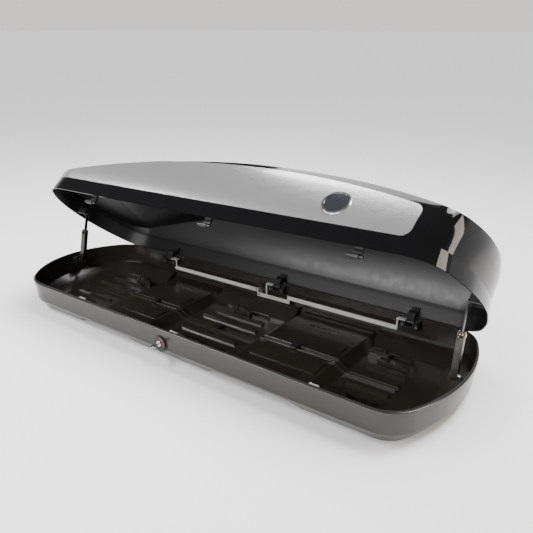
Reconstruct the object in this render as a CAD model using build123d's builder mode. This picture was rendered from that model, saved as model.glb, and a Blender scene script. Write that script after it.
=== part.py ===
from build123d import *
from math import cos, radians, sin, sqrt
import os

os.makedirs("parts", exist_ok=True)

# Roof cargo box that opens from either long side, shown with its lid held open
# from the near side (-Y).  +X points to the tail, -X to the nose, +Z is up.
# The origin is on the underside, in the middle.  All sizes are in millimetres.

# ---- shell in plan
box_length = 2000.0
nose_width = 622.0          # rim width, carried straight on to the nose end
tail_width = 692.0          # rim width, carried straight on to the tail end
nose_sweep = 156.0          # how far the nose arc runs back at full width
tail_sweep = 104.0
nose_corner_radius = 168.0
tail_corner_radius = 134.0

# ---- tub
tub_height = 130.0
wall = 4.0
lip_height = 18.0
lip_overhang = 5.0          # the lip stands this far outside the wall
lip_round = 4.0
band_height = 46.0          # height of the slanted lower band
band_inset = 9.0            # inset of the wall at the top of that band
sole_inset = 46.0           # inset of the underside
sole_round = 8.0

# ---- floor
deck_height = 28.0          # the two roof bar decks stand this far above the floor
deck_ramp = 44.0
front_deck = (-540.0, -268.0)
rear_deck = (186.0, 518.0)
front_floor_end = -880.0
tail_floor_end = 800.0
field_gap = 20.0            # from a deck's edges to its raised field
field_step = 4.0
field_half_width = 126.0
field_corner = 10.0
rib_height = 11.0
rib_width = 17.0
rib_taper = 16.0
rib_pitch = 68.0
rib_rows = (-3, -2, -1, 1, 2, 3)
rib_end_gap = 20.0
rib_stagger = 16.0          # each row away from the middle starts this much later
cove_height = 42.0          # sloping foot of the wall between the decks
cove_foot_inset = 112.0
cove_top_inset = 28.0
cove_sheet = 7.0            # measured level
rib_round = 2.5
channel_half_gap = 13.0
channel_rib_width = 7.0
channel_rib_height = 9.0

# ---- roof bar slots, one pair in each deck
bar_slot_length = 150.0
bar_slot_width = 10.0
bar_slot_spacing_y = 410.0

# ---- strap loops and the pads they stand on
loop_stations = (-645.0, -42.0, 607.0)
loop_y = 164.0
loop_length = 60.0
loop_height = 22.0
loop_rod = 5.0
loop_lean = 9.0             # how far each top corner leans in
pad_length = 92.0
pad_width = 26.0
pad_height = 22.0

# ---- channel clips
clip_stations = (-400.0, -40.0, 337.0)
clip_size = (30.0, 44.0, 16.0)
clip_corner = 4.0
clip_edge_round = 1.5

# ---- lid, sizes given with the lid shut
seal_height = 3.0
seal_width = 4.0
seal_inset = 4.5
seal_squeeze_gap = 0.4
lid_wall = 3.2
flank_height = 60.0
crease_inset = 10.0
crease_step = 1.2
shoulder_rise = 150.0       # middle level of the leaning side
shoulder_inset = 34.0
shoulder_nose_inset = 30.0
shoulder_tail_inset = 8.0
crown_rise = 250.0          # upper level of the leaning side
crown_inset = 78.0
crown_nose_inset = 120.0
crown_tail_inset = 32.0
crown_corner_inset = 56.0
cap_rise = 330.0            # top level, above the roof
cap_inset = 132.0
cap_nose_inset = 170.0
cap_tail_inset = 74.0
cap_corner_inset = 78.0
roof_height = 302.0         # highest point of the roof above the lid's rim
roof_peak_x = 157.0
nose_drop = 226.0           # fall of the roof line from its peak to the nose
tail_drop = 104.0
nose_power = 1.75
tail_power = 2.4
roof_camber = 26.0          # fall of the roof at the camber reach from the middle
camber_reach = 260.0
tail_roof_reach = 484.0      # how far the roof body carries its camber sideways
half_stations = 6           # sections of the roof body on each side of the middle

# ---- silver side panels
panel_thickness = 2.2
panel_gap = 3.0             # shadow gap between crease and panel
panel_nose_x = -900.0
panel_tail_x = 812.0
panel_top_rise = 258.0
panel_nose_rise = 86.0
panel_tail_rise = 188.0
panel_corner = 34.0

# ---- badge
badge_x = 523.0
badge_rise = 146.0
badge_radius = 50.0
badge_thickness = 4.0
badge_rim = 7.0
badge_lean = 0.34           # rise over run of the panel's normal at the badge

# ---- liner inside the lid
liner_rise = 74.0           # its lower edge above the lid's rim
liner_nose_x = -815.0
liner_tail_x = 870.0
liner_depth = 1.5
liner_play = 0.3

# ---- hinge line, along each long side
open_angle = 40.5
hinge_inset = 22.0          # hinge pins sit this far inside the rim line
hinge_drop = 20.5           # and this far below the rim
pin_radius = 5.0
pin_clearance = 0.08
pin_length = 60.0

# ---- hinge and latch stations, the same on both long sides
stations = (-590.0, 40.0, 660.0)
housing_length = 76.0
housing_front = 14.0        # housing reaches this far inside the hinge line
housing_back = 9.5          # and this far outside it
housing_below = 22.0
housing_above = 16.0
housing_screw_gap = 28.0
shelf_rise = 5.2            # the tongues slide on this shelf
arm_width = 30.0
arm_play = 0.6
arm_boss_radius = 8.6
arm_profile = (             # outward and above the hinge line, with the lid shut
    (-9, 2),
    (-18, 14),
    (-18, 32),
    (-8, 46),
    (5, 50),
    (5, 66),
    (11, 66),
    (15.3, 41),
    (-4, 37),
    (-9, 28),
    (-9, 12),
    (-4, 6),
)
arm_inner_face = 5.0        # inner face of the arm's upper pad
arm_screw_rise = 58.0
slot_lead = 0.4

# ---- lock rails
rail_top = -23.0            # measured from the hinge line
rail_web = 18.0
rail_thickness = 3.0
rail_flange = 11.0
rail_setback = 12.0         # rail web inside the hinge line
rail_travel = 16.0
rail_start_gap = 46.0
tongue_thickness = 4.0
tongue_play = 0.4
tongue_reach = 17.0         # from the station to the tongue's tip when locked
riser_width = 6.0
drive_bar_top = -42.5
riser_overlap = 4.0         # how far a riser runs into the bars it joins
drive_bar_height = 17.5

# ---- locks
lock_station = -57.0
lock_drop = 40.5            # lock axis below the hinge line
lock_turn = 90.0
boss_radius = 36.0
boss_face = 16.0            # outer face of the boss, outside the hinge line
boss_back = 1.0
plate_radius = 30.0
plate_thickness = 6.0
marker_radius = 21.0
marker_width = 4.0
marker_depth = 1.0
barrel_radius = 11.0
barrel_edge_round = 1.2
barrel_proud = 3.0
spindle_radius = 5.0
cam_radius = 16.0
cam_thickness = 4.0
drive_pin_radius = 2.5
drive_slot_clearance = 1.7
key_bow_radius = 12.0
key_thickness = 2.5
key_stem = 14.0
key_blade_width = 8.0
key_seat = 3.0              # how far the blade runs on into the bow, and into the barrel

# ---- lid lifters, one inside each end
lifter_inset = 60.0         # the arms swing this far inside the ends
foot_y = 45.0
foot_drop = 30.0            # foot pivot below the rim
elbow_y = 75.0
elbow_rise = 106.0          # elbow above the rim with the lid open
lid_pivot_y = 5.0           # with the lid shut
lid_pivot_rise = 18.0
channel_width = 24.0
channel_depth = 20.0
channel_back = 12.0         # the channel's back stands this far from its pivots
channel_sheet = 2.0
channel_corner = 5.0
arm_overrun = 14.0
arm_window = 17.0
link_width = 15.0
link_thickness = 4.0
link_gap = 1.2              # from the link to the lid bracket's ear
rivet_radius = 4.0
rivet_head_radius = 6.5
rivet_head = 2.0
sleeve_radius = 6.0
foot_bracket_gap = 26.0     # from the arm's middle to the foot bracket
bracket_sheet = 3.0
bracket_width = 44.0
bracket_height = 32.0
bracket_corner = 4.0

# ---- fasteners
screw_head_radius = 4.5
screw_head_height = 2.5

# ---- worked out from the sizes above
side_slope = (tail_width - nose_width) / 2 / box_length
middle_half_width = (tail_width + nose_width) / 4
lid_rim = tub_height + seal_height + seal_squeeze_gap
hinge_height = tub_height - hinge_drop
along = Vector(1, side_slope, 0).normalized()
outward = Vector(-side_slope, 1, 0).normalized()
drive_radius = rail_travel / 2 / sin(radians(lock_turn / 2))
pin_slot_radius = pin_radius + pin_clearance


def half_width(x):
    """Half of the rim's width at x."""
    return middle_half_width + side_slope * x


def end_radius(width, sweep):
    """Radius of an end arc from its chord and its sweep."""
    return (width**2 / 4 + sweep**2) / (2 * sweep)


def arc_meets_side(centre_x, radius, side_inset, towards):
    """Where an end arc centred on the X axis crosses the long side's line."""
    height = middle_half_width - side_inset
    a = 1 + side_slope**2
    b = side_slope * height - centre_x
    c = centre_x**2 + height**2 - radius**2
    x = (-b + towards * sqrt(b**2 - a * c)) / a
    return x, height + side_slope * x


def outline(side_inset, nose_inset=None, tail_inset=None, corner_inset=None):
    """The box in plan, moved in from the rim line by the given insets."""
    nose_inset = side_inset if nose_inset is None else nose_inset
    tail_inset = side_inset if tail_inset is None else tail_inset
    corner_inset = side_inset if corner_inset is None else corner_inset
    nose_radius = end_radius(nose_width, nose_sweep)
    tail_radius = end_radius(tail_width, tail_sweep)
    nose_centre = nose_radius - box_length / 2
    tail_centre = box_length / 2 - tail_radius
    nose_x, nose_y = arc_meets_side(nose_centre, nose_radius - nose_inset, side_inset, -1)
    tail_x, tail_y = arc_meets_side(tail_centre, tail_radius - tail_inset, side_inset, 1)
    with BuildSketch() as plan:
        with BuildLine():
            Line((nose_x, -nose_y), (tail_x, -tail_y))
            ThreePointArc((tail_x, -tail_y), (box_length / 2 - tail_inset, 0), (tail_x, tail_y))
            Line((tail_x, tail_y), (nose_x, nose_y))
            ThreePointArc((nose_x, nose_y), (nose_inset - box_length / 2, 0), (nose_x, -nose_y))
        make_face()
        fillet(plan.vertices().group_by(Axis.X)[0], nose_corner_radius - corner_inset)
        fillet(plan.vertices().group_by(Axis.X)[-1], tail_corner_radius - corner_inset)
    return plan.sketch


def side_point(u, v, w):
    """A point given along, outside and above the far hinge line."""
    start = Vector(0, middle_half_width - hinge_inset, hinge_height)
    return start + along * u + outward * v + Vector(0, 0, w)


def across(u):
    """Plane square to the far hinge line: x is outward, y is up."""
    return Plane(origin=side_point(u, 0, 0), x_dir=outward, z_dir=along)


def facing(v):
    """Plane along the far side: x is along, y is up, and its normal points inward."""
    return Plane(origin=side_point(0, v, 0), x_dir=along, z_dir=-outward)


def beside(w):
    """Level plane at a height above the hinge line: x is along, y is outward."""
    return Plane(origin=side_point(0, 0, w), x_dir=along, z_dir=(0, 0, 1))


def near(piece):
    """The same piece on the near side."""
    return mirror(piece, about=Plane.XZ, mode=Mode.PRIVATE)


def swung_open(piece):
    """A piece of the shut lid, turned about the far hinge line to its open place."""
    hinge = Axis(side_point(0, 0, 0), -along)
    return piece.rotate(hinge, open_angle)


def lock_disc(radius, front, back, hole=0.0):
    """A disc on the lock's axis, from one distance outside the hinge line to another."""
    with BuildPart() as disc:
        with BuildSketch(facing(front)):
            with Locations((lock_station, -lock_drop)):
                Circle(radius)
                if hole > 0:
                    Circle(hole, mode=Mode.SUBTRACT)
        extrude(amount=front - back)
    return disc.part


# ---------------------------------------------------------------- tub


def tub_body(inset, sole):
    """The tub as a solid, moved in by an inset, with its underside at a height."""
    with BuildPart() as body:
        with BuildSketch(Plane.XY.offset(sole)):
            add(outline(sole_inset + inset))
        with BuildSketch(Plane.XY.offset(band_height)):
            add(outline(band_inset + inset))
        loft(ruled=True)
        with BuildSketch(Plane.XY.offset(band_height)):
            add(outline(band_inset + inset))
        with BuildSketch(Plane.XY.offset(tub_height)):
            add(outline(lip_overhang + inset))
        loft(ruled=True)
    return body.part


def deck_prism(deck, drop, width):
    """A deck's side profile, run across the box."""
    start, end = deck
    with BuildPart() as prism:
        with BuildSketch(Plane.XZ):
            with BuildLine():
                Polyline(
                    (start - deck_ramp, -drop),
                    (start - deck_ramp, wall - drop),
                    (start, wall + deck_height - drop),
                    (end, wall + deck_height - drop),
                    (end + deck_ramp, wall - drop),
                    (end + deck_ramp, -drop),
                    close=True,
                )
            make_face()
        extrude(amount=width, both=True)
    return prism.part


def floor_line(rise):
    """The floor's side profile from nose to tail, lifted by a rise."""
    low = wall + rise
    high = low + deck_height
    points = [(front_floor_end, low)]
    for start, end in (front_deck, rear_deck):
        points += [(start - deck_ramp, low), (start, high), (end, high), (end + deck_ramp, low)]
    return points + [(tail_floor_end - 2 * rib_end_gap, low)]


floor_zones = [
    (front_floor_end, front_deck[0] - deck_ramp),
    (front_deck[1] + deck_ramp, rear_deck[0] - deck_ramp),
    (rear_deck[1] + deck_ramp, tail_floor_end),
]

with BuildPart() as tub_rough:
    add(tub_body(0, 0))
    fillet(tub_rough.edges().group_by(Axis.Z)[0], sole_round)
    with BuildSketch(Plane.XY.offset(tub_height - lip_height)):
        add(outline(0))
    extrude(amount=lip_height)
    fillet(tub_rough.edges().group_by(Axis.Z)[-1], lip_round)
    add(tub_body(wall, wall), mode=Mode.SUBTRACT)

with BuildPart() as decks:
    for deck in (front_deck, rear_deck):
        add(deck_prism(deck, 0, tail_width))
    add(tub_body(wall / 2, 0), mode=Mode.INTERSECT)



def cove_cone(growth):
    """The space inside the coves, moved out by a growth."""
    with BuildPart() as cone:
        with BuildSketch(Plane.XY.offset(wall)):
            add(outline(cove_foot_inset - growth))
        with BuildSketch(Plane.XY.offset(wall + cove_height)):
            add(outline(cove_top_inset - growth))
        loft(ruled=True)
    return cone.part


with BuildPart() as coves:
    add(cove_cone(cove_sheet))
    with BuildSketch(Plane.XY.offset(cove_height)):
        add(outline(0))
    extrude(amount=wall)
    add(cove_cone(0), mode=Mode.SUBTRACT)
    add(tub_body(wall / 2, 0), mode=Mode.INTERSECT)
    with BuildSketch(Plane.XY):
        for start, end in (front_deck, rear_deck):
            with Locations(((start + end) / 2, 0)):
                Rectangle(end - start + deck_ramp, 2 * tail_width)
    extrude(amount=tub_height, mode=Mode.SUBTRACT)

with BuildPart() as channel_ribs:
    with BuildSketch(Plane.XZ.offset(-channel_half_gap - channel_rib_width / 2)):
        with BuildLine():
            Polyline(*floor_line(-wall / 2), *reversed(floor_line(channel_rib_height)), close=True)
        make_face()
    extrude(amount=channel_rib_width)
    mirror(about=Plane.XZ)
    fillet(channel_ribs.edges().filter_by(Axis.X).group_by(Axis.Z)[-1], rib_round)

with BuildPart() as base_tub:
    add(tub_rough.part)
    add(decks.part)
    add(coves.part)
    for deck in (front_deck, rear_deck):
        add(deck_prism(deck, wall, tail_width), mode=Mode.SUBTRACT)
    add(channel_ribs.part)
    for start, end in floor_zones:
        with BuildSketch(Plane.XY.offset(wall / 2)):
            for row in rib_rows:
                with Locations(((start + end) / 2, row * rib_pitch)):
                    SlotOverall(end - start - 2 * (rib_end_gap + abs(row) * rib_stagger), rib_width)
        extrude(amount=rib_height + wall / 2, taper=rib_taper)
    for start, end in (front_deck, rear_deck):
        field_width = field_half_width - field_gap
        with BuildSketch(Plane.XY.offset(deck_height + wall / 2)):
            with Locations(((start + end) / 2, 0)):
                with GridLocations(0, field_half_width + field_gap, 1, 2):
                    RectangleRounded(end - start - 2 * field_gap, field_width, field_corner)
        extrude(amount=field_step + wall / 2, taper=rib_taper)
    with BuildSketch(Plane.XY.offset(wall / 2)):
        for x in loop_stations:
            with Locations((x, -loop_y), (x, loop_y)):
                RectangleRounded(pad_length, pad_width, pad_width / 3)
    extrude(amount=pad_height + wall / 2)
    for deck in (front_deck, rear_deck):
        with BuildSketch(Plane.XY.offset(-wall)):
            with Locations(((deck[0] + deck[1]) / 2, 0)):
                with GridLocations(0, bar_slot_spacing_y, 1, 2):
                    SlotOverall(bar_slot_length, bar_slot_width)
        extrude(amount=deck_height + 4 * wall, mode=Mode.SUBTRACT)
    boss = lock_disc(boss_radius, boss_face, boss_back)
    bore = lock_disc(spindle_radius + arm_play, boss_face + wall, boss_back - wall)
    add(boss)
    add(near(boss))
    add(bore, mode=Mode.SUBTRACT)
    add(near(bore), mode=Mode.SUBTRACT)
base_tub.part.label = "base_tub"
export_step(base_tub.part, "parts/base_tub.step")

# ---------------------------------------------------------------- tub fittings

with BuildPart() as rim_seal:
    with BuildSketch(Plane.XY.offset(tub_height)):
        add(outline(seal_inset))
        add(outline(seal_inset + seal_width), mode=Mode.SUBTRACT)
    extrude(amount=seal_height)
rim_seal.part.label = "rim_seal"
export_step(rim_seal.part, "parts/rim_seal.step")

with BuildPart() as strap_loops:
    rod_y = loop_rod / 2
    for x in loop_stations:
        for y in (-loop_y, loop_y):
            left = x - loop_length / 2
            right = x + loop_length / 2
            foot = wall + pad_height
            top = foot + loop_height - rod_y
            with BuildSketch(Plane.XZ.offset(-y - rod_y)):
                with BuildLine():
                    Polyline(
                        (left - loop_rod * 2, foot),
                        (left - loop_rod * 2, foot + loop_rod),
                        (left, foot + loop_rod),
                        (left + loop_rod, top),
                        (right - loop_rod, top),
                        (right, foot + loop_rod),
                        (right + loop_rod * 2, foot + loop_rod),
                        (right + loop_rod * 2, foot),
                        (right - loop_rod / 2, foot),
                        (right - loop_lean, top - loop_rod),
                        (left + loop_lean, top - loop_rod),
                        (left + loop_rod / 2, foot),
                        close=True,
                    )
                make_face()
            extrude(amount=loop_rod)
strap_loops.part.label = "strap_loops"
export_step(strap_loops.part, "parts/strap_loops.step")

with BuildPart() as channel_clips:
    for x in clip_stations:
        on_deck = any(start < x < end for start, end in (front_deck, rear_deck))
        floor_top = wall + (deck_height if on_deck else 0)
        with BuildSketch(Plane.XY.offset(floor_top)):
            with Locations((x, 0)):
                RectangleRounded(clip_size[0], 2 * channel_half_gap - channel_rib_width - arm_play, 3)
        extrude(amount=clip_size[2])
        with BuildSketch(Plane.XY.offset(floor_top + channel_rib_height + arm_play)):
            with Locations((x, 0)):
                RectangleRounded(clip_size[0], clip_size[1], clip_corner)
        extrude(amount=clip_size[2] - channel_rib_height - arm_play)
    fillet(channel_clips.edges().group_by(Axis.Z)[-1], clip_edge_round)
channel_clips.part.label = "channel_clips"
export_step(channel_clips.part, "parts/channel_clips.step")

# ---------------------------------------------------------------- hinge and latch housings


def housing_set():
    """The three pin housings on the far side."""
    with BuildPart() as housings:
        for u in stations:
            with BuildSketch(beside(-housing_below)):
                with Locations((u, (housing_back - housing_front) / 2)):
                    RectangleRounded(housing_length, housing_front + housing_back, 3)
            extrude(amount=housing_below + housing_above)
            with BuildSketch(beside(-housing_below / 2)):
                with Locations((u, 0)):
                    Rectangle(arm_width + 2 * arm_play, 4 * housing_front)
            extrude(amount=housing_below + housing_above, mode=Mode.SUBTRACT)
            with BuildSketch(beside(shelf_rise)):
                with Locations((u, pin_slot_radius - housing_front)):
                    Rectangle(housing_length, 2 * housing_front)
            extrude(amount=housing_above, mode=Mode.SUBTRACT)
            with BuildSketch(across(u - pin_length / 2 - arm_play)):
                Circle(pin_slot_radius)
                with Locations((0, housing_above / 2)):
                    Rectangle(2 * (pin_slot_radius + slot_lead), housing_above)
            extrude(amount=pin_length + 2 * arm_play, mode=Mode.SUBTRACT)
    return housings.part


with BuildPart() as far_housings:
    add(housing_set())
far_housings.part.label = "far_housings"
export_step(far_housings.part, "parts/far_housings.step")

with BuildPart() as near_housings:
    add(near(housing_set()))
near_housings.part.label = "near_housings"
export_step(near_housings.part, "parts/near_housings.step")

# ---------------------------------------------------------------- lock rails


def tongue(u, towards):
    """A tongue over one pin end, with its riser; towards is +1 when it points along +X."""
    tip = u - towards * tongue_reach
    root = u - towards * (rail_start_gap + riser_width)
    low = shelf_rise + tongue_play
    with BuildPart() as piece:
        with BuildSketch(beside(low)):
            with Locations(((tip + root) / 2, (pin_radius - 1 - rail_setback - rail_thickness) / 2)):
                Rectangle(abs(tip - root), pin_radius - 1 + rail_setback + rail_thickness)
        extrude(amount=tongue_thickness)
        with BuildSketch(facing(-rail_setback)):
            with Locations((root + towards * riser_width / 2, (low + tongue_thickness + rail_top) / 2)):
                Rectangle(riser_width, low + tongue_thickness - rail_top + 2)
        extrude(amount=rail_thickness)
    return piece.part


def rail_section(start, end):
    """The angled aluminium section between two places along the side."""
    with BuildPart() as piece:
        with BuildSketch(across(start)):
            with BuildLine():
                Polyline(
                    (-rail_setback, rail_top),
                    (-rail_setback, rail_top - rail_web),
                    (-rail_setback - rail_thickness, rail_top - rail_web),
                    (-rail_setback - rail_thickness, rail_top - rail_thickness),
                    (-rail_setback - rail_flange, rail_top - rail_flange),
                    (-rail_setback - rail_flange, rail_top - rail_flange + rail_thickness),
                    (-rail_setback - rail_thickness, rail_top),
                    close=True,
                )
            make_face()
        extrude(amount=end - start)
    return piece.part


def drive_slot(side):
    """The upright slot that a drive pin works in, above (+1) or below (-1) the lock's axis."""
    near_end = drive_radius * cos(radians(lock_turn / 2)) - drive_pin_radius - drive_slot_clearance
    far_end = drive_radius + drive_pin_radius + drive_slot_clearance
    with BuildPart() as piece:
        with BuildSketch(facing(-rail_setback + 1)):
            slot_height = side * (near_end + far_end) / 2 - lock_drop
            with Locations((lock_station - side * rail_travel / 2, slot_height)):
                Rectangle(2 * drive_pin_radius + drive_slot_clearance, far_end - near_end)
        extrude(amount=rail_thickness + 2)
    return piece.part


def front_rail(shift):
    """Rail of the nose-end station, drawn back from its locked place by a shift."""
    inner_end = lock_station + drive_slot_clearance
    outer_end = lock_station - cam_radius - rail_travel
    with BuildPart() as rail:
        add(rail_section(stations[0] + rail_start_gap, outer_end))
        with BuildSketch(facing(-rail_setback)):
            with Locations(((inner_end + outer_end - rail_web) / 2, rail_top - rail_web / 2)):
                Rectangle(inner_end - outer_end + rail_web, rail_web)
        extrude(amount=rail_thickness)
        add(tongue(stations[0], -1))
        add(drive_slot(1), mode=Mode.SUBTRACT)
    return rail.part.translate(along * shift)


def rear_rail(shift):
    """Rail of the middle and tail-end stations, drawn back by a shift."""
    outer_start = stations[1] + housing_length / 2 + rail_travel + 2 * riser_width
    bar_start = lock_station - drive_slot_clearance
    with BuildPart() as rail:
        add(rail_section(outer_start, stations[2] - rail_start_gap))
        with BuildSketch(facing(-rail_setback)):
            with Locations(((bar_start + outer_start) / 2, drive_bar_top - drive_bar_height / 2)):
                Rectangle(outer_start - bar_start, drive_bar_height)
            with Locations((outer_start, (rail_top + drive_bar_top - drive_bar_height) / 2)):
                Rectangle(2 * riser_width, rail_top - drive_bar_top + drive_bar_height)
            with Locations((stations[1] - rail_start_gap - riser_width / 2, (rail_top + drive_bar_top) / 2)):
                Rectangle(riser_width, rail_top - drive_bar_top + riser_overlap)
        extrude(amount=rail_thickness)
        add(tongue(stations[1], 1))
        add(tongue(stations[2], 1))
        add(drive_slot(-1), mode=Mode.SUBTRACT)
    return rail.part.translate(along * -shift)


with BuildPart() as far_rail_front:
    add(front_rail(0))
far_rail_front.part.label = "far_rail_front"
export_step(far_rail_front.part, "parts/far_rail_front.step")

with BuildPart() as far_rail_rear:
    add(rear_rail(0))
far_rail_rear.part.label = "far_rail_rear"
export_step(far_rail_rear.part, "parts/far_rail_rear.step")

with BuildPart() as near_rail_front:
    add(near(front_rail(rail_travel)))
near_rail_front.part.label = "near_rail_front"
export_step(near_rail_front.part, "parts/near_rail_front.step")

with BuildPart() as near_rail_rear:
    add(near(rear_rail(rail_travel)))
near_rail_rear.part.label = "near_rail_rear"
export_step(near_rail_rear.part, "parts/near_rail_rear.step")

# ---------------------------------------------------------------- locks


def lock_plate_piece():
    """The round escutcheon, with a groove for the coloured marker."""
    front = boss_face + plate_thickness
    with BuildPart() as plate:
        add(lock_disc(plate_radius, front, boss_face, barrel_radius + arm_play))
        fillet(plate.edges().filter_by(GeomType.CIRCLE).sort_by(SortBy.RADIUS)[-2:], 2.0)
        add(marker_piece(arm_play / 4), mode=Mode.SUBTRACT)
    return plate.part


def marker_piece(play):
    """The arc that shows which way the lock is turned."""
    front = boss_face + plate_thickness
    outer = marker_radius + marker_width / 2 + play
    inner = marker_radius - marker_width / 2 - play
    with BuildPart() as marker:
        with BuildSketch(facing(front)):
            with Locations((lock_station, -lock_drop)):
                Circle(outer)
                Circle(inner, mode=Mode.SUBTRACT)
                with Locations(((plate_radius + play) / 2, (plate_radius + play) / 2)):
                    Rectangle(plate_radius + 3 * play, plate_radius + 3 * play, mode=Mode.INTERSECT)
        extrude(amount=marker_depth + play)
    return marker.part


def barrel_piece():
    """Lock barrel and the spindle that carries its turn through the wall."""
    front = boss_face + plate_thickness + barrel_proud
    with BuildPart() as barrel:
        add(lock_disc(barrel_radius, front, boss_face + arm_play))
        fillet(barrel.edges().filter_by(GeomType.CIRCLE).group_by(Axis.Y)[-1], barrel_edge_round)
        add(lock_disc(spindle_radius, boss_face + arm_play, -cam_thickness))
        with BuildSketch(facing(front)):
            with Locations((lock_station, -lock_drop)):
                SlotOverall(barrel_radius, key_thickness + arm_play)
        extrude(amount=barrel_proud + plate_thickness, mode=Mode.SUBTRACT)
    return barrel.part


def cam_piece(turned):
    """Drive cam on the spindle; turned is 0 locked, 1 unlocked."""
    half = radians(lock_turn / 2) * (1 - 2 * turned)
    offset_u = -drive_radius * sin(half)
    offset_w = drive_radius * cos(half)
    with BuildPart() as cam:
        add(lock_disc(cam_radius, 0, -cam_thickness, spindle_radius))
        with BuildSketch(facing(-cam_thickness)):
            with Locations((lock_station + offset_u, offset_w - lock_drop)):
                Circle(drive_pin_radius)
            with Locations((lock_station - offset_u, -offset_w - lock_drop)):
                Circle(drive_pin_radius)
        extrude(amount=rail_setback + rail_thickness - cam_thickness + 1)
    return cam.part


with BuildPart() as near_lock_plate:
    add(near(lock_plate_piece()))
near_lock_plate.part.label = "near_lock_plate"
export_step(near_lock_plate.part, "parts/near_lock_plate.step")

with BuildPart() as far_lock_plate:
    add(lock_plate_piece())
far_lock_plate.part.label = "far_lock_plate"
export_step(far_lock_plate.part, "parts/far_lock_plate.step")

with BuildPart() as near_lock_marker:
    add(near(marker_piece(0)))
near_lock_marker.part.label = "near_lock_marker"
export_step(near_lock_marker.part, "parts/near_lock_marker.step")

with BuildPart() as far_lock_marker:
    add(marker_piece(0))
far_lock_marker.part.label = "far_lock_marker"
export_step(far_lock_marker.part, "parts/far_lock_marker.step")

with BuildPart() as near_lock_barrel:
    add(near(barrel_piece()))
near_lock_barrel.part.label = "near_lock_barrel"
export_step(near_lock_barrel.part, "parts/near_lock_barrel.step")

with BuildPart() as far_lock_barrel:
    add(barrel_piece())
far_lock_barrel.part.label = "far_lock_barrel"
export_step(far_lock_barrel.part, "parts/far_lock_barrel.step")

with BuildPart() as near_lock_cam:
    add(near(cam_piece(1)))
near_lock_cam.part.label = "near_lock_cam"
export_step(near_lock_cam.part, "parts/near_lock_cam.step")

with BuildPart() as far_lock_cam:
    add(cam_piece(0))
far_lock_cam.part.label = "far_lock_cam"
export_step(far_lock_cam.part, "parts/far_lock_cam.step")

with BuildPart() as key_rough:
    key_front = boss_face + plate_thickness + barrel_proud
    with BuildSketch(beside(-lock_drop - key_thickness / 2)):
        with Locations((lock_station, key_front + key_stem / 2 - key_seat)):
            Rectangle(key_blade_width, key_stem + 2 * key_seat)
        with Locations((lock_station, key_front + key_stem + key_bow_radius - 2)):
            Circle(key_bow_radius)
        with Locations((lock_station, key_front + key_stem + key_bow_radius + 3)):
            Circle(key_bow_radius / 4, mode=Mode.SUBTRACT)
    extrude(amount=key_thickness)

with BuildPart() as lock_key:
    add(near(key_rough.part))
lock_key.part.label = "lock_key"
export_step(lock_key.part, "parts/lock_key.step")

# ---------------------------------------------------------------- lid shell


def roof_line(x):
    """Height of the roof's middle above the lid's rim."""
    if x < roof_peak_x:
        share = (roof_peak_x - x) / (roof_peak_x + box_length / 2)
        return roof_height - nose_drop * share**nose_power
    share = (x - roof_peak_x) / (box_length / 2 - roof_peak_x)
    return roof_height - tail_drop * share**tail_power


def roof_body(growth):
    """Everything under the roof surface, moved out by a growth."""
    fall = roof_camber * (tail_roof_reach / camber_reach) ** 2
    with BuildPart() as body:
        for step in range(-half_stations, half_stations + 1):
            x = step * (box_length / 2 + 4 * panel_thickness + lid_wall) / half_stations
            top = lid_rim + roof_line(x) + growth
            with BuildSketch(Plane.YZ.offset(x)):
                with BuildLine():
                    Line((-tail_roof_reach, 0), (tail_roof_reach, 0))
                    Line((tail_roof_reach, 0), (tail_roof_reach, top - fall))
                    ThreePointArc((tail_roof_reach, top - fall), (0, top), (-tail_roof_reach, top - fall))
                    Line((-tail_roof_reach, top - fall), (-tail_roof_reach, 0))
                make_face()
        loft()
    return body.part


def dome_body(growth):
    """The upper part of the lid: leaning sides under the roof surface."""
    start = crease_inset + crease_step
    with BuildPart() as body:
        for rise, side, nose, tail, corner in (
            (flank_height / 2, start, start, start, start),
            (flank_height, start, start, start, start),
            (shoulder_rise, shoulder_inset, shoulder_nose_inset, shoulder_tail_inset, shoulder_inset),
            (crown_rise, crown_inset, crown_nose_inset, crown_tail_inset, crown_corner_inset),
            (cap_rise, cap_inset, cap_nose_inset, cap_tail_inset, cap_corner_inset),
        ):
            with BuildSketch(Plane.XY.offset(lid_rim + rise)):
                add(outline(side - growth, nose - growth, tail - growth, corner - growth))
        loft()
        add(roof_body(growth), mode=Mode.INTERSECT)
    return body.part


def flank_body(growth):
    """The band between the lid's rim and its crease."""
    with BuildPart() as body:
        with BuildSketch(Plane.XY.offset(lid_rim)):
            add(outline(-growth))
        with BuildSketch(Plane.XY.offset(lid_rim + flank_height)):
            add(outline(crease_inset - growth))
        loft(ruled=True)
    return body.part


with BuildPart() as shut_shell:
    add(dome_body(0))
    add(flank_body(0))
    add(dome_body(-lid_wall), mode=Mode.SUBTRACT)
    add(flank_body(-lid_wall), mode=Mode.SUBTRACT)

with BuildPart() as lid_shell:
    add(swung_open(shut_shell.part))
lid_shell.part.label = "lid_shell"
export_step(lid_shell.part, "parts/lid_shell.step")

# ---------------------------------------------------------------- lid trim and stiffening


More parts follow.
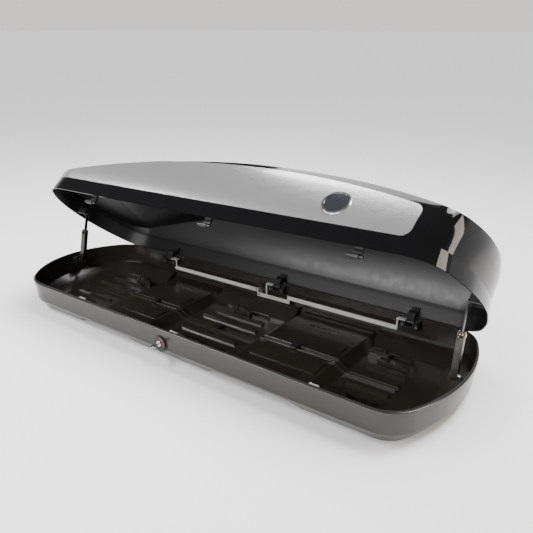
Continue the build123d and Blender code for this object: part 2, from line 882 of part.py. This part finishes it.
def side_panel():
    """The silver panel on the far side of the shut lid."""
    low = lid_rim + flank_height + panel_gap
    nose_top = (panel_nose_x, lid_rim + panel_nose_rise)
    tail_top = (panel_tail_x, lid_rim + panel_tail_rise)
    with BuildPart() as panel:
        with BuildSketch(Plane.XZ) as region:
            with BuildLine():
                Line((panel_nose_x, low), (panel_tail_x, low))
                Line((panel_tail_x, low), tail_top)
                panel_top = ((panel_nose_x + panel_tail_x) / 2, lid_rim + panel_top_rise)
                ThreePointArc(tail_top, panel_top, nose_top)
                Line(nose_top, (panel_nose_x, low))
            make_face()
            fillet(region.vertices().group_by(Axis.X)[-1], panel_corner)
        extrude(amount=-tail_width)
        add(dome_body(panel_thickness), mode=Mode.INTERSECT)
        add(dome_body(0), mode=Mode.SUBTRACT)
    return panel.part


def badge_piece(outer, inner, proud):
    """A disc or ring that follows the panel's surface."""
    centre = Vector(badge_x, half_width(badge_x) - shoulder_inset, lid_rim + badge_rise)
    with BuildPart() as badge:
        with BuildSketch(Plane(origin=centre, x_dir=along, z_dir=outward + Vector(0, 0, badge_lean))):
            Circle(outer)
            if inner > 0:
                Circle(inner, mode=Mode.SUBTRACT)
        extrude(amount=badge_radius / 2, both=True)
        add(dome_body(panel_thickness + proud), mode=Mode.INTERSECT)
        add(dome_body(panel_thickness), mode=Mode.SUBTRACT)
    return badge.part


with BuildPart() as panel_shut:
    add(side_panel())

with BuildPart() as far_side_panel:
    add(swung_open(panel_shut.part))
far_side_panel.part.label = "far_side_panel"
export_step(far_side_panel.part, "parts/far_side_panel.step")

with BuildPart() as near_side_panel:
    add(swung_open(near(panel_shut.part)))
near_side_panel.part.label = "near_side_panel"
export_step(near_side_panel.part, "parts/near_side_panel.step")

with BuildPart() as disc_shut:
    add(badge_piece(badge_radius - badge_rim, 0, badge_thickness / 2))

with BuildPart() as ring_shut:
    add(badge_piece(badge_radius, badge_radius - badge_rim, badge_thickness))

with BuildPart() as far_badge:
    add(swung_open(disc_shut.part))
far_badge.part.label = "far_badge"
export_step(far_badge.part, "parts/far_badge.step")

with BuildPart() as near_badge:
    add(swung_open(near(disc_shut.part)))
near_badge.part.label = "near_badge"
export_step(near_badge.part, "parts/near_badge.step")

with BuildPart() as far_badge_ring:
    add(swung_open(ring_shut.part))
far_badge_ring.part.label = "far_badge_ring"
export_step(far_badge_ring.part, "parts/far_badge_ring.step")

with BuildPart() as near_badge_ring:
    add(swung_open(near(ring_shut.part)))
near_badge_ring.part.label = "near_badge_ring"
export_step(near_badge_ring.part, "parts/near_badge_ring.step")

with BuildPart() as liner_shut:
    with BuildSketch(Plane.XY.offset(lid_rim + liner_rise)):
        with Locations(((liner_nose_x + liner_tail_x) / 2, 0)):
            Rectangle(liner_tail_x - liner_nose_x, tail_width)
    extrude(amount=roof_height)
    add(dome_body(-lid_wall - liner_play), mode=Mode.INTERSECT)
    add(dome_body(-lid_wall - liner_play - liner_depth), mode=Mode.SUBTRACT)

with BuildPart() as lid_liner:
    add(swung_open(liner_shut.part))
lid_liner.part.label = "lid_liner"
export_step(lid_liner.part, "parts/lid_liner.step")

# ---------------------------------------------------------------- hinge arms


def arm_set():
    """The three cranked arms of the far side, hanging from the shut lid."""
    with BuildPart() as arms:
        for u in stations:
            with BuildSketch(across(u - arm_width / 2)):
                with BuildLine():
                    Polyline(*arm_profile, close=True)
                make_face()
                Circle(arm_boss_radius)
                Circle(pin_radius, mode=Mode.SUBTRACT)
            extrude(amount=arm_width)
    return arms.part


def pin_set():
    """The pins through the three arms."""
    with BuildPart() as pins:
        for u in stations:
            with BuildSketch(across(u - pin_length / 2)):
                Circle(pin_radius)
            extrude(amount=pin_length)
    return pins.part


def screw_heads(plane, places, radius, height):
    """Round screw heads standing on a plane."""
    with BuildPart() as heads:
        with BuildSketch(plane):
            with Locations(*places):
                Circle(radius)
                RegularPolygon(radius / 2, 6, mode=Mode.SUBTRACT)
        extrude(amount=height)
    return heads.part


with BuildPart() as far_hinge_arms:
    add(swung_open(arm_set()))
far_hinge_arms.part.label = "far_hinge_arms"
export_step(far_hinge_arms.part, "parts/far_hinge_arms.step")

with BuildPart() as near_hinge_arms:
    add(swung_open(near(arm_set())))
near_hinge_arms.part.label = "near_hinge_arms"
export_step(near_hinge_arms.part, "parts/near_hinge_arms.step")

with BuildPart() as far_hinge_pins:
    add(swung_open(pin_set()))
far_hinge_pins.part.label = "far_hinge_pins"
export_step(far_hinge_pins.part, "parts/far_hinge_pins.step")

with BuildPart() as near_hinge_pins:
    add(swung_open(near(pin_set())))
near_hinge_pins.part.label = "near_hinge_pins"
export_step(near_hinge_pins.part, "parts/near_hinge_pins.step")

arm_screw_places = [(u + side * arm_width / 4, arm_screw_rise) for u in stations for side in (-1, 1)]
screw_height = -housing_below / 2
housing_screw_places = [(u + side * housing_screw_gap, screw_height) for u in stations for side in (-1, 1)]

with BuildPart() as arm_screws:
    heads = screw_heads(facing(arm_inner_face), arm_screw_places, screw_head_radius, screw_head_height)
    add(swung_open(heads))
    add(swung_open(near(heads)))
arm_screws.part.label = "arm_screws"
export_step(arm_screws.part, "parts/arm_screws.step")

with BuildPart() as housing_screws:
    heads = screw_heads(facing(-housing_front), housing_screw_places, screw_head_radius, screw_head_height)
    add(heads)
    add(near(heads))
housing_screws.part.label = "housing_screws"
export_step(housing_screws.part, "parts/housing_screws.step")

# ---------------------------------------------------------------- lifters


def pivot(x, y, z):
    """A pivot in the plane square to the hinge line at x."""
    return Vector(x, 0, 0) + outward * y + Vector(0, 0, z)


def opened(x, y, z):
    """Where a pivot of the shut lid lies once the lid is open."""
    hinge_y = (side_point(0, 0, 0) - Vector(x, 0, 0)).dot(outward)
    turn = radians(open_angle)
    across_y = y - hinge_y
    up_z = z - hinge_height
    open_y = hinge_y + across_y * cos(turn) + up_z * sin(turn)
    open_z = hinge_height - across_y * sin(turn) + up_z * cos(turn)
    return pivot(x, open_y, open_z)


def bar_plane(start, end, shift):
    """Plane along a bar between two pivots; its y points away from the hinge line."""
    return Plane(origin=start + along * shift, x_dir=end - start, z_dir=along)


def round_bar(centre, radius, start, end):
    """A round bar about a pivot's axis, between two distances along it."""
    with BuildPart() as bar:
        with BuildSketch(Plane(origin=centre + along * start, x_dir=outward, z_dir=along)):
            Circle(radius)
        extrude(amount=end - start)
    return bar.part


def lower_arm_piece(foot, elbow):
    """The folded steel channel between the foot and the elbow."""
    reach = (elbow - foot).length
    edge = channel_width / 2
    with BuildPart() as arm:
        with BuildSketch(bar_plane(foot, elbow, -edge)):
            with Locations((reach / 2, channel_back - channel_depth / 2)):
                RectangleRounded(reach + 2 * arm_overrun, channel_depth, channel_corner)
        extrude(amount=channel_width)
        with BuildSketch(bar_plane(foot, elbow, channel_sheet - edge)):
            with Locations((reach / 2, channel_back - channel_sheet - channel_depth)):
                Rectangle(2 * reach, 2 * channel_depth)
        extrude(amount=channel_width - 2 * channel_sheet, mode=Mode.SUBTRACT)
        with BuildSketch(bar_plane(foot, elbow, 2 * channel_sheet - edge)):
            with Locations((reach, channel_back)):
                Rectangle(arm_window, 4 * channel_sheet)
        extrude(amount=channel_width - 4 * channel_sheet, mode=Mode.SUBTRACT)
        add(round_bar(foot, rivet_radius + pin_clearance, -channel_width, channel_width), mode=Mode.SUBTRACT)
        add(round_bar(elbow, rivet_radius, -channel_width, channel_width), mode=Mode.SUBTRACT)
    return arm.part


def rivet_piece(elbow):
    """The elbow rivet with the sleeves that keep the link in the middle."""
    edge = channel_width / 2
    with BuildPart() as rivet:
        add(round_bar(elbow, rivet_radius, -edge - rivet_head, edge + rivet_head))
        for side in (-1, 1):
            add(round_bar(elbow, rivet_head_radius, side * edge, side * (edge + rivet_head)))
            sleeve_start = side * (link_thickness / 2 + arm_play)
            add(round_bar(elbow, sleeve_radius, sleeve_start, side * (edge - channel_sheet)))
    return rivet.part


def link_piece(elbow, top):
    """The flat bar from the elbow up to the lid."""
    reach = (top - elbow).length
    with BuildPart() as link:
        with BuildSketch(bar_plane(elbow, top, -link_thickness / 2)):
            with Locations((reach / 2, 0)):
                SlotCenterToCenter(reach, link_width)
        extrude(amount=link_thickness)
        add(round_bar(elbow, rivet_radius + pin_clearance, -link_width, link_width), mode=Mode.SUBTRACT)
        add(round_bar(top, rivet_radius + pin_clearance, -link_width, link_width), mode=Mode.SUBTRACT)
    return link.part


def foot_bracket_piece(foot, end_side):
    """The block on the tub's end wall that carries the foot pin."""
    with BuildPart() as bracket:
        bracket_origin = foot + along * end_side * foot_bracket_gap
        with BuildSketch(Plane(origin=bracket_origin, x_dir=outward, z_dir=along)):
            RectangleRounded(bracket_width, bracket_height, bracket_corner)
            Circle(rivet_radius, mode=Mode.SUBTRACT)
        extrude(amount=end_side * lifter_inset)
        add(tub_body(wall, wall), mode=Mode.INTERSECT)
    return bracket.part


def foot_pin_piece(foot, end_side):
    """The pin the lower arm turns on."""
    edge = channel_width / 2 + arm_play
    with BuildPart() as pin:
        add(round_bar(foot, rivet_radius, -end_side * edge, end_side * (foot_bracket_gap + rivet_head)))
        add(round_bar(foot, rivet_head_radius, -end_side * edge, -end_side * (edge + rivet_head)))
        add(round_bar(foot, rivet_head_radius, end_side * edge, end_side * foot_bracket_gap))
    return pin.part


def lid_bracket_piece(top, end_side):
    """The folded bracket on the shut lid's end wall, its ear beside the link."""
    ear = link_thickness / 2 + link_gap
    with BuildPart() as bracket:
        with BuildSketch(Plane(origin=top + along * end_side * ear, x_dir=outward, z_dir=along)):
            with Locations((bracket_width / 2 - link_width, bracket_height / 2 - link_width / 2)):
                RectangleRounded(bracket_width, bracket_height, bracket_corner)
            Circle(rivet_radius, mode=Mode.SUBTRACT)
        extrude(amount=end_side * lifter_inset)
        leg_start = end_side * (ear + bracket_sheet)
        with BuildSketch(Plane(origin=top + along * leg_start, x_dir=outward, z_dir=along)):
            with Locations((bracket_width / 2 - link_width, bracket_height / 2 - link_width / 2)):
                Rectangle(bracket_width - 2 * bracket_sheet, 2 * bracket_height)
        extrude(amount=end_side * lifter_inset, mode=Mode.SUBTRACT)
        add(flank_body(-lid_wall), mode=Mode.INTERSECT)
    return bracket.part


def lid_pin_piece(top, end_side):
    """The short pin in the lid bracket's ear."""
    ear = link_thickness / 2 + link_gap
    with BuildPart() as pin:
        add(round_bar(top, rivet_radius, end_side * ear, end_side * (ear + bracket_sheet)))
        head_start = ear + bracket_sheet
        add(round_bar(top, rivet_head_radius, end_side * head_start, end_side * (head_start + rivet_head)))
    return pin.part


def lifter_points(x):
    """Foot, elbow and lid pivot of a lifter with the lid open, then the lid pivot with it shut."""
    foot = pivot(x, foot_y, tub_height - foot_drop)
    elbow = pivot(x, elbow_y, tub_height + elbow_rise)
    top_height = tub_height + lid_pivot_rise
    return foot, elbow, opened(x, lid_pivot_y, top_height), pivot(x, lid_pivot_y, top_height)


front_foot, front_elbow, front_top, front_top_shut = lifter_points(lifter_inset - box_length / 2)
rear_foot, rear_elbow, rear_top, rear_top_shut = lifter_points(box_length / 2 - lifter_inset)

with BuildPart() as front_lower_arm:
    add(lower_arm_piece(front_foot, front_elbow))
front_lower_arm.part.label = "front_lower_arm"
export_step(front_lower_arm.part, "parts/front_lower_arm.step")

with BuildPart() as rear_lower_arm:
    add(lower_arm_piece(rear_foot, rear_elbow))
rear_lower_arm.part.label = "rear_lower_arm"
export_step(rear_lower_arm.part, "parts/rear_lower_arm.step")

with BuildPart() as front_elbow_rivet:
    add(rivet_piece(front_elbow))
front_elbow_rivet.part.label = "front_elbow_rivet"
export_step(front_elbow_rivet.part, "parts/front_elbow_rivet.step")

with BuildPart() as rear_elbow_rivet:
    add(rivet_piece(rear_elbow))
rear_elbow_rivet.part.label = "rear_elbow_rivet"
export_step(rear_elbow_rivet.part, "parts/rear_elbow_rivet.step")

with BuildPart() as front_upper_link:
    add(link_piece(front_elbow, front_top))
front_upper_link.part.label = "front_upper_link"
export_step(front_upper_link.part, "parts/front_upper_link.step")

with BuildPart() as rear_upper_link:
    add(link_piece(rear_elbow, rear_top))
rear_upper_link.part.label = "rear_upper_link"
export_step(rear_upper_link.part, "parts/rear_upper_link.step")

with BuildPart() as front_foot_bracket:
    add(foot_bracket_piece(front_foot, -1))
front_foot_bracket.part.label = "front_foot_bracket"
export_step(front_foot_bracket.part, "parts/front_foot_bracket.step")

with BuildPart() as rear_foot_bracket:
    add(foot_bracket_piece(rear_foot, 1))
rear_foot_bracket.part.label = "rear_foot_bracket"
export_step(rear_foot_bracket.part, "parts/rear_foot_bracket.step")

with BuildPart() as front_foot_pin:
    add(foot_pin_piece(front_foot, -1))
front_foot_pin.part.label = "front_foot_pin"
export_step(front_foot_pin.part, "parts/front_foot_pin.step")

with BuildPart() as rear_foot_pin:
    add(foot_pin_piece(rear_foot, 1))
rear_foot_pin.part.label = "rear_foot_pin"
export_step(rear_foot_pin.part, "parts/rear_foot_pin.step")

with BuildPart() as front_lid_bracket:
    add(swung_open(lid_bracket_piece(front_top_shut, -1)))
front_lid_bracket.part.label = "front_lid_bracket"
export_step(front_lid_bracket.part, "parts/front_lid_bracket.step")

with BuildPart() as rear_lid_bracket:
    add(swung_open(lid_bracket_piece(rear_top_shut, 1)))
rear_lid_bracket.part.label = "rear_lid_bracket"
export_step(rear_lid_bracket.part, "parts/rear_lid_bracket.step")

with BuildPart() as lid_pins:
    add(swung_open(lid_pin_piece(front_top_shut, -1)))
    add(swung_open(lid_pin_piece(rear_top_shut, 1)))
lid_pins.part.label = "lid_pins"
export_step(lid_pins.part, "parts/lid_pins.step")
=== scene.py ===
import bpy
from math import radians
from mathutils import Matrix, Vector


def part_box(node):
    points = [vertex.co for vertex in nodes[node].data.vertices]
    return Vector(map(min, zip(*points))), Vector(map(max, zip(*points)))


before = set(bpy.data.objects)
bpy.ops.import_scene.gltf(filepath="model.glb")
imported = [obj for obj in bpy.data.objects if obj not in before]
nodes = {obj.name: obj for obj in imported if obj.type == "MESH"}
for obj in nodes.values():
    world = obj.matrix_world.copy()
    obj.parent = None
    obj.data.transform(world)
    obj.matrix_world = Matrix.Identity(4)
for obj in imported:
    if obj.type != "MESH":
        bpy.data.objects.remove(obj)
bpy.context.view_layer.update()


# ---- material helpers
noiseSpan = (0.35, 0.65)      # the part of a noise pattern that is spread over a finish

def startMaterial(name, colour, roughness, metallic=0.0):
    mat = bpy.data.materials.new(name)
    mat.use_nodes = True
    shader = mat.node_tree.nodes["Principled BSDF"]
    shader.inputs["Base Color"].default_value = (*colour, 1)
    shader.inputs["Roughness"].default_value = roughness
    shader.inputs["Metallic"].default_value = metallic
    return mat, shader


def objectNoise(mat, scale, detail=3.0, stretch=(1, 1, 1)):
    tree = mat.node_tree
    coord = tree.nodes.new("ShaderNodeTexCoord")
    mapping = tree.nodes.new("ShaderNodeMapping")
    mapping.inputs["Scale"].default_value = stretch
    noise = tree.nodes.new("ShaderNodeTexNoise")
    noise.inputs["Scale"].default_value = scale
    noise.inputs["Detail"].default_value = detail
    tree.links.new(coord.outputs["Object"], mapping.inputs["Vector"])
    tree.links.new(mapping.outputs["Vector"], noise.inputs["Vector"])
    return noise.outputs["Fac"]


def varyRoughness(mat, shader, source, low, high):
    spread = mat.node_tree.nodes.new("ShaderNodeMapRange")
    spread.inputs["From Min"].default_value = noiseSpan[0]
    spread.inputs["From Max"].default_value = noiseSpan[1]
    spread.inputs["To Min"].default_value = low
    spread.inputs["To Max"].default_value = high
    mat.node_tree.links.new(source, spread.inputs["Value"])
    mat.node_tree.links.new(spread.outputs["Result"], shader.inputs["Roughness"])


def varyColour(mat, shader, source, dark, light):
    ramp = mat.node_tree.nodes.new("ShaderNodeValToRGB")
    ramp.color_ramp.elements[0].position = noiseSpan[0]
    ramp.color_ramp.elements[0].color = (*dark, 1)
    ramp.color_ramp.elements[1].position = noiseSpan[1]
    ramp.color_ramp.elements[1].color = (*light, 1)
    mat.node_tree.links.new(source, ramp.inputs["Fac"])
    mat.node_tree.links.new(ramp.outputs["Color"], shader.inputs["Base Color"])


def addBump(mat, shader, source, strength, distance):
    bump = mat.node_tree.nodes.new("ShaderNodeBump")
    bump.inputs["Strength"].default_value = strength
    bump.inputs["Distance"].default_value = distance
    mat.node_tree.links.new(source, bump.inputs["Height"])
    mat.node_tree.links.new(bump.outputs["Normal"], shader.inputs["Normal"])


def grainedPlastic(name, dark, light, rough, grainScale, grainDepth, coat=0.0):
    mat, shader = startMaterial(name, light, rough[0])
    varyColour(mat, shader, objectNoise(mat, 5.0), dark, light)
    varyRoughness(mat, shader, objectNoise(mat, 40.0), *rough)
    addBump(mat, shader, objectNoise(mat, grainScale, 2.0), 0.35, grainDepth)
    shader.inputs["Coat Weight"].default_value = coat
    shader.inputs["Coat Roughness"].default_value = rough[0]
    return mat


def metal(name, dark, light, rough, stretch, scale=220.0, depth=0.00004, solid=1.0):
    mat, shader = startMaterial(name, light, rough[0], solid)
    lines = objectNoise(mat, scale, 4.0, stretch)
    varyColour(mat, shader, lines, dark, light)
    varyRoughness(mat, shader, lines, *rough)
    addBump(mat, shader, lines, 0.3, depth)
    return mat


def outsideMask(mat, centre):
    # 1 on faces that look away from the centre of the shell, 0 on faces that look into it
    tree = mat.node_tree
    coord = tree.nodes.new("ShaderNodeTexCoord")
    arm = tree.nodes.new("ShaderNodeVectorMath")
    arm.operation = "SUBTRACT"
    arm.inputs[1].default_value = centre
    facing = tree.nodes.new("ShaderNodeVectorMath")
    facing.operation = "DOT_PRODUCT"
    mask = tree.nodes.new("ShaderNodeMath")
    mask.operation = "GREATER_THAN"
    mask.inputs[1].default_value = 0.0
    tree.links.new(coord.outputs["Object"], arm.inputs[0])
    tree.links.new(arm.outputs["Vector"], facing.inputs[0])
    tree.links.new(coord.outputs["Normal"], facing.inputs[1])
    tree.links.new(facing.outputs["Value"], mask.inputs[0])
    return mask.outputs["Value"]


def splitSocket(mat, shader, socket, mask, inside):
    # what feeds the socket stays on the outside, and the inside gets its own source
    tree = mat.node_tree
    target = shader.inputs[socket]
    mix = tree.nodes.new("ShaderNodeMix")
    isColour = socket == "Base Color"
    mix.data_type = "RGBA" if isColour else "FLOAT"
    first, second, result = (6, 7, 2) if isColour else (2, 3, 0)
    if target.is_linked:
        tree.links.new(target.links[0].from_socket, mix.inputs[second])
    else:
        mix.inputs[second].default_value = target.default_value
    mix.inputs[first].default_value = inside
    tree.links.new(mask, mix.inputs[0])
    tree.links.new(mix.outputs[result], target)


def dress(mat, *names):
    for name in names:
        piece = nodes[name]
        piece.data.materials.clear()
        piece.data.materials.append(mat)


# ---- tub and fittings
tubPlastic = grainedPlastic("tubPlastic", (0.0190, 0.0158, 0.0125),
                            (0.0220, 0.0184, 0.0146), (0.20, 0.24), 900.0, 0.00001, 0.15)
trimPlastic = grainedPlastic("trimPlastic", (0.008, 0.008, 0.008),
                             (0.014, 0.014, 0.014), (0.34, 0.46), 1200.0, 0.00004)
sealRubber = grainedPlastic("sealRubber", (0.006, 0.006, 0.006),
                            (0.010, 0.010, 0.010), (0.55, 0.7), 700.0, 0.00005)
railAluminium = metal("railAluminium", (0.68, 0.67, 0.63), (0.80, 0.79, 0.75),
                      (0.38, 0.48), (0.05, 1, 1), solid=0.5)
screwSteel = metal("screwSteel", (0.40, 0.40, 0.41), (0.52, 0.52, 0.53), (0.25, 0.4), (1, 1, 1))
lockSteel = metal("lockSteel", (0.55, 0.55, 0.56), (0.68, 0.68, 0.68), (0.14, 0.22), (1, 1, 1))
brass = metal("brass", (0.62, 0.42, 0.16), (0.78, 0.56, 0.24), (0.16, 0.28), (1, 1, 1))
armSteel = metal("armSteel", (0.07, 0.068, 0.064), (0.12, 0.116, 0.11), (0.28, 0.40), (1, 1, 0.2), 90.0)
linkBlack = grainedPlastic("linkBlack", (0.010, 0.010, 0.010),
                           (0.016, 0.016, 0.016), (0.32, 0.45), 500.0, 0.00003)
markerRed = grainedPlastic("markerRed", (0.30, 0.008, 0.008),
                           (0.42, 0.012, 0.01), (0.2, 0.3), 600.0, 0.00002, 0.5)

dress(tubPlastic, "base_tub")
dress(sealRubber, "rim_seal")
dress(trimPlastic, "strap_loops", "channel_clips", "far_housings", "near_housings")
dress(trimPlastic, "far_hinge_arms", "near_hinge_arms")
dress(trimPlastic, "near_lock_plate", "far_lock_plate")
dress(railAluminium, "far_rail_front", "far_rail_rear", "near_rail_front", "near_rail_rear")
dress(screwSteel, "far_hinge_pins", "housing_screws", "lid_pins")
dress(linkBlack, "near_hinge_pins", "arm_screws")
dress(screwSteel, "front_foot_pin", "rear_foot_pin", "near_lock_cam", "far_lock_cam")
dress(lockSteel, "near_lock_barrel", "far_lock_barrel", "lock_key")
dress(markerRed, "near_lock_marker", "far_lock_marker")
dress(armSteel, "front_lower_arm", "rear_lower_arm")
dress(brass, "front_elbow_rivet", "rear_elbow_rivet")
dress(linkBlack, "front_upper_link", "rear_upper_link", "front_lid_bracket", "rear_lid_bracket")
dress(linkBlack, "front_foot_bracket", "rear_foot_bracket")
print("tub dressed")

# ---- lid
lidGloss, lidShader = startMaterial("lidGloss", (0.004, 0.004, 0.0045), 0.06)
varyRoughness(lidGloss, lidShader, objectNoise(lidGloss, 3.0), 0.04, 0.08)
addBump(lidGloss, lidShader, objectNoise(lidGloss, 9.0, 1.0), 0.06, 0.0004)
lidShader.inputs["Specular IOR Level"].default_value = 0.32
linerLow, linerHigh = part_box("lid_liner")
lidCentre = [(linerLow[axis] + linerHigh[axis]) / 2 for axis in range(3)]
lidMask = outsideMask(lidGloss, lidCentre)
splitSocket(lidGloss, lidShader, "Base Color", lidMask, (0.006, 0.006, 0.0065, 1))
splitSocket(lidGloss, lidShader, "Roughness", lidMask, 0.36)
lidLining = grainedPlastic("lidLining", (0.0060, 0.0062, 0.0068),
                           (0.0078, 0.0080, 0.0088), (0.30, 0.36), 700.0, 0.00002)

panelSilver, panelShader = startMaterial("panelSilver", (0.54, 0.54, 0.55), 0.24, 0.76)
flakes = objectNoise(panelSilver, 2600.0, 1.0)
varyColour(panelSilver, panelShader, flakes, (0.50, 0.50, 0.51), (0.60, 0.60, 0.61))
varyRoughness(panelSilver, panelShader, objectNoise(panelSilver, 60.0), 0.23, 0.26)
panelShader.inputs["Coat Weight"].default_value = 0.7
panelShader.inputs["Coat Roughness"].default_value = 0.05

badgeChrome = metal("badgeChrome", (0.70, 0.70, 0.71), (0.80, 0.80, 0.80), (0.06, 0.12), (1, 1, 1))
badgeFace = grainedPlastic("badgeFace", (0.018, 0.020, 0.024),
                           (0.024, 0.027, 0.032), (0.12, 0.18), 800.0, 0.00002, 0.3)

dress(lidGloss, "lid_shell")
dress(lidLining, "lid_liner")
dress(panelSilver, "near_side_panel", "far_side_panel")
dress(badgeChrome, "near_badge_ring", "far_badge_ring")
dress(badgeFace, "near_badge", "far_badge")
print("lid dressed")

# ---- floor, light and camera
floorSettings = {"size": 160.0, "drop": 0.0005}
bpy.ops.object.select_all(action="DESELECT")
bpy.ops.mesh.primitive_plane_add(size=floorSettings["size"], location=(0, 0, -floorSettings["drop"]))
studioFloor = bpy.context.object
studioFloor.name = "studioFloor"
floorMat, floorShader = startMaterial("floorPaper", (0.94, 0.94, 0.94), 0.9)
varyRoughness(floorMat, floorShader, objectNoise(floorMat, 30.0), 0.85, 0.95)
studioFloor.data.materials.append(floorMat)


def softLight(name, place, aim, size, power, colour=(1, 1, 1)):
    data = bpy.data.lights.new(name, "AREA")
    data.shape = "RECTANGLE"
    data.size = size[0]
    data.size_y = size[1]
    data.energy = power
    data.color = colour
    lamp = bpy.data.objects.new(name, data)
    bpy.context.collection.objects.link(lamp)
    lamp.location = place
    lamp.rotation_euler = (Vector(aim) - Vector(place)).to_track_quat("-Z", "Y").to_euler()
    return lamp


warmWhite = (1.0, 0.90, 0.78)
lamps = {
    "overheadLight": {"place": (0.3, 1.4, 3.0), "aim": (0, 0.2, 0.2), "size": (4.6, 1.0), "power": 130.0},
    "frontLight": {"place": (-0.4, -3.8, 2.2), "aim": (0, 0, 0.2), "size": (4.2, 0.6), "power": 150.0},
    "noseLight": {"place": (-2.3, -1.7, 2.9), "aim": (0, -0.1, 0.1), "size": (1.9, 0.35), "power": 120.0},
    "tailLight": {"place": (3.4, 0.9, 1.6), "aim": (0.5, 0.1, 0.3), "size": (0.9, 1.8), "power": 55.0,
                  "colour": warmWhite},
}
for lampName, lamp in lamps.items():
    softLight(lampName, **lamp)

sun = {"power": 3.4, "spread": radians(30), "from": (0.35, 0.75, 1.6)}
sunData = bpy.data.lights.new("daylight", "SUN")
sunData.energy = sun["power"]
sunData.angle = sun["spread"]
daylight = bpy.data.objects.new("daylight", sunData)
bpy.context.collection.objects.link(daylight)
daylight.rotation_euler = Vector(sun["from"]).to_track_quat("Z", "Y").to_euler()

# the room is bright low down and dark overhead, so gloss black stays black
room = {"wallTop": 0.12, "ceiling": 0.42,
        "wallColour": (1.0, 0.985, 0.96), "ceilingColour": (0.15, 0.148, 0.145)}
world = bpy.data.worlds.new("studioWorld")
world.use_nodes = True
worldTree = world.node_tree
direction = worldTree.nodes.new("ShaderNodeTexCoord")
heights = worldTree.nodes.new("ShaderNodeSeparateXYZ")
wallToCeiling = worldTree.nodes.new("ShaderNodeValToRGB")
wallToCeiling.color_ramp.elements[0].position = room["wallTop"]
wallToCeiling.color_ramp.elements[0].color = (*room["wallColour"], 1)
wallToCeiling.color_ramp.elements[1].position = room["ceiling"]
wallToCeiling.color_ramp.elements[1].color = (*room["ceilingColour"], 1)
worldTree.links.new(direction.outputs["Generated"], heights.inputs["Vector"])
worldTree.links.new(heights.outputs["Z"], wallToCeiling.inputs["Fac"])
worldTree.links.new(wallToCeiling.outputs["Color"], worldTree.nodes["Background"].inputs["Color"])
worldTree.nodes["Background"].inputs["Strength"].default_value = 1.0
bpy.context.scene.world = world

view = {"place": (1.535, -1.843, 1.197), "aim": (0.0463, 0.2156, 0.2345), "lens": 43.68, "sensor": 36.0}
cameraData = bpy.data.cameras.new("studioCamera")
cameraData.lens = view["lens"]
cameraData.sensor_width = view["sensor"]
camera = bpy.data.objects.new("studioCamera", cameraData)
bpy.context.collection.objects.link(camera)
camera.location = view["place"]
camera.rotation_euler = (Vector(view["aim"]) - camera.location).to_track_quat("-Z", "Y").to_euler()
bpy.context.scene.camera = camera
print("stage set")
